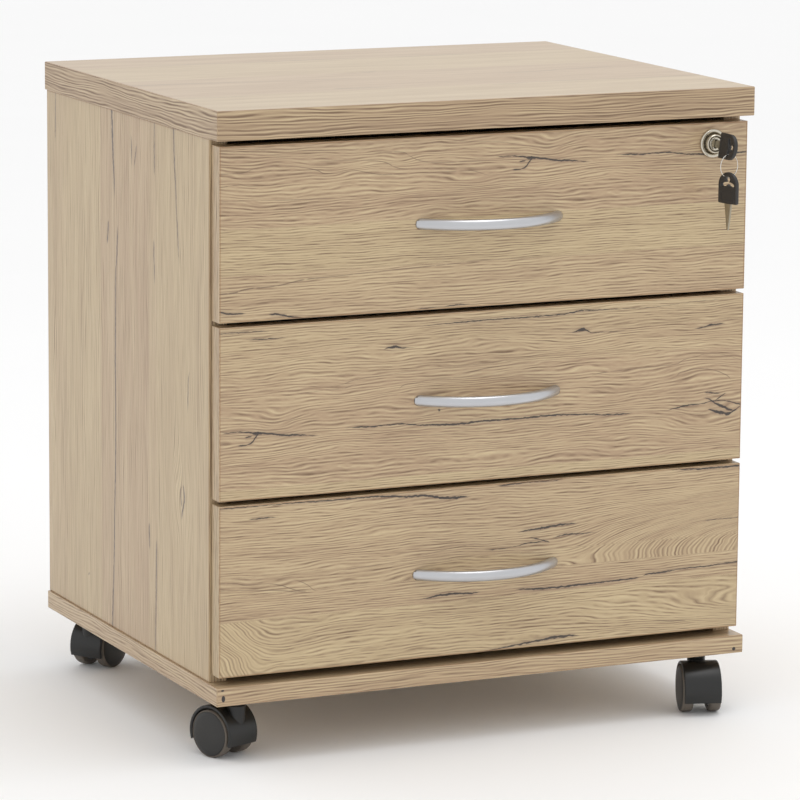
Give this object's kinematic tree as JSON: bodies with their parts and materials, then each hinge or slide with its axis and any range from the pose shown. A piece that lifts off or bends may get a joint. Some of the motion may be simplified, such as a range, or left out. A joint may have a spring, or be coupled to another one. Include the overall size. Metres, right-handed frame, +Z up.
{
  "type": "pedestal cabinet",
  "caption": "Rolling under-desk pedestal in light oak decor: drawers with satin bow handles, a keyed lock on the top drawer and twin-wheel castors.",
  "frame": {"origin": "on the floor, under the middle of the whole object's bounding box", "axes": "+Z up, +X to the right of someone facing the drawers, drawers open towards -Y"},
  "size_m": [0.5001, 0.4436, 0.552],
  "materials": {
    "oak": "light oak decor on melamine board, fine horizontal or vertical grain with dark cracks, matte",
    "board": "plain pale melamine on the drawer bottoms and backs",
    "drawer_steel": "pale grey powder coat",
    "zinc": "zinc plated steel",
    "satin_metal": "satin silver lacquer on the handles",
    "nickel": "polished nickel",
    "castor_plastic": "black moulded nylon, slight sheen",
    "tread": "black wheel plastic, matte tread",
    "key_plastic": "dark grey moulded key bow"
  },
  "bodies": {
    "cabinet": {"top_panel": "oak", "bottom_panel": "oak", "side_panel_left": "oak", "side_panel_right": "oak", "back_panel": "oak", "runner_1_left": "zinc", "runner_1_right": "zinc", "runner_2_left": "zinc", "runner_2_right": "zinc", "runner_3_left": "zinc", "runner_3_right": "zinc", "castor_front_left_stem": "zinc", "castor_front_right_stem": "zinc", "castor_back_left_stem": "zinc", "castor_back_right_stem": "zinc"},
    "drawer_1": {"drawer_1_front": "oak", "drawer_1_side_left": "drawer_steel", "drawer_1_side_right": "drawer_steel", "drawer_1_bottom": "board", "drawer_1_back": "board", "handle_1": "satin_metal", "lock_housing": "nickel"},
    "drawer_2": {"drawer_2_front": "oak", "drawer_2_side_left": "drawer_steel", "drawer_2_side_right": "drawer_steel", "drawer_2_bottom": "board", "drawer_2_back": "board", "handle_2": "satin_metal"},
    "drawer_3": {"drawer_3_front": "oak", "drawer_3_side_left": "drawer_steel", "drawer_3_side_right": "drawer_steel", "drawer_3_bottom": "board", "drawer_3_back": "board", "handle_3": "satin_metal"},
    "lock_plug": {"lock_plug": "nickel"},
    "key": {"key_bow": "key_plastic", "key_blade": "nickel"},
    "key_ring": {"key_ring": "nickel"},
    "spare_key": {"spare_key_bow": "key_plastic", "spare_key_blade": "nickel"},
    "lock_bar": {"lock_bar": "zinc"},
    "castor_front_left": {"castor_front_left_housing": "castor_plastic", "castor_front_left_axle": "zinc"},
    "castor_front_left_wheel_left": {"castor_front_left_wheel_left": "tread"},
    "castor_front_left_wheel_right": {"castor_front_left_wheel_right": "tread"},
    "castor_front_right": {"castor_front_right_housing": "castor_plastic", "castor_front_right_axle": "zinc"},
    "castor_front_right_wheel_left": {"castor_front_right_wheel_left": "tread"},
    "castor_front_right_wheel_right": {"castor_front_right_wheel_right": "tread"},
    "castor_back_left": {"castor_back_left_housing": "castor_plastic", "castor_back_left_axle": "zinc"},
    "castor_back_left_wheel_left": {"castor_back_left_wheel_left": "tread"},
    "castor_back_left_wheel_right": {"castor_back_left_wheel_right": "tread"},
    "castor_back_right": {"castor_back_right_housing": "castor_plastic", "castor_back_right_axle": "zinc"},
    "castor_back_right_wheel_left": {"castor_back_right_wheel_left": "tread"},
    "castor_back_right_wheel_right": {"castor_back_right_wheel_right": "tread"}
  },
  "joints": [
    {"name": "drawer_1_slide", "type": "slide", "parent": "cabinet", "child": "drawer_1", "axis": [0, -1, 0], "range_m": [0, 0.265]},
    {"name": "drawer_2_slide", "type": "slide", "parent": "cabinet", "child": "drawer_2", "axis": [0, -1, 0], "range_m": [0, 0.265]},
    {"name": "drawer_3_slide", "type": "slide", "parent": "cabinet", "child": "drawer_3", "axis": [0, -1, 0], "range_m": [0, 0.265]},
    {"name": "key_turn", "type": "hinge", "parent": "drawer_1", "child": "lock_plug", "pos_m": [0.212, -0.1795, 0.50425], "axis": [0, 1, 0], "range_deg": [0, 180]},
    {"name": "lock_bar_lift", "type": "slide", "parent": "cabinet", "child": "lock_bar", "axis": [0, 0, 1], "range_m": [0, 0.008]},
    {"name": "key_pull", "type": "slide", "parent": "lock_plug", "child": "key", "axis": [0, -1, 0], "range_m": [0, 0.025]},
    {"name": "key_ring_swing", "type": "hinge", "parent": "key", "child": "key_ring", "pos_m": [0.21127, -0.2108, 0.49829], "axis": [0.9703, 0.2419, 0], "range_deg": [-60, 15]},
    {"name": "spare_key_swing", "type": "hinge", "parent": "key_ring", "child": "spare_key", "pos_m": [0.21127, -0.2108, 0.4884], "axis": [-0.2419, 0.9703, 0], "range_deg": [-35, 35]},
    {"name": "castor_front_left_swivel", "type": "hinge", "parent": "cabinet", "child": "castor_front_left", "pos_m": [-0.22, -0.1545, 0.045], "axis": [0, 0, 1], "continuous": true},
    {"name": "castor_front_left_wheel_left_spin", "type": "hinge", "parent": "castor_front_left", "child": "castor_front_left_wheel_left", "pos_m": [-0.22562, -0.14059, 0.0205], "axis": [0.9272, 0.3746, 0], "continuous": true},
    {"name": "castor_front_left_wheel_right_spin", "type": "hinge", "parent": "castor_front_left", "child": "castor_front_left_wheel_right", "pos_m": [-0.22562, -0.14059, 0.0205], "axis": [0.9272, 0.3746, 0], "continuous": true},
    {"name": "castor_front_right_swivel", "type": "hinge", "parent": "cabinet", "child": "castor_front_right", "pos_m": [0.22, -0.1545, 0.045], "axis": [0, 0, 1], "continuous": true},
    {"name": "castor_front_right_wheel_left_spin", "type": "hinge", "parent": "castor_front_right", "child": "castor_front_right_wheel_left", "pos_m": [0.21537, -0.16877, 0.0205], "axis": [-0.9511, 0.309, 0], "continuous": true},
    {"name": "castor_front_right_wheel_right_spin", "type": "hinge", "parent": "castor_front_right", "child": "castor_front_right_wheel_right", "pos_m": [0.21537, -0.16877, 0.0205], "axis": [-0.9511, 0.309, 0], "continuous": true},
    {"name": "castor_back_left_swivel", "type": "hinge", "parent": "cabinet", "child": "castor_back_left", "pos_m": [-0.22, 0.1855, 0.045], "axis": [0, 0, 1], "continuous": true},
    {"name": "castor_back_left_wheel_left_spin", "type": "hinge", "parent": "castor_back_left", "child": "castor_back_left_wheel_left", "pos_m": [-0.20771, 0.1941, 0.0205], "axis": [0.5736, -0.8192, 0], "continuous": true},
    {"name": "castor_back_left_wheel_right_spin", "type": "hinge", "parent": "castor_back_left", "child": "castor_back_left_wheel_right", "pos_m": [-0.20771, 0.1941, 0.0205], "axis": [0.5736, -0.8192, 0], "continuous": true},
    {"name": "castor_back_right_swivel", "type": "hinge", "parent": "cabinet", "child": "castor_back_right", "pos_m": [0.22, 0.1855, 0.045], "axis": [0, 0, 1], "continuous": true},
    {"name": "castor_back_right_wheel_left_spin", "type": "hinge", "parent": "castor_back_right", "child": "castor_back_right_wheel_left", "pos_m": [0.20551, 0.18938, 0.0205], "axis": [0.2588, 0.9659, 0], "continuous": true},
    {"name": "castor_back_right_wheel_right_spin", "type": "hinge", "parent": "castor_back_right", "child": "castor_back_right_wheel_right", "pos_m": [0.20551, 0.18938, 0.0205], "axis": [0.2588, 0.9659, 0], "continuous": true}
  ],
  "couplings": [
    {"joint": "key_turn", "follows": "lock_bar_lift", "rad_per_m": 392.7}
  ]
}
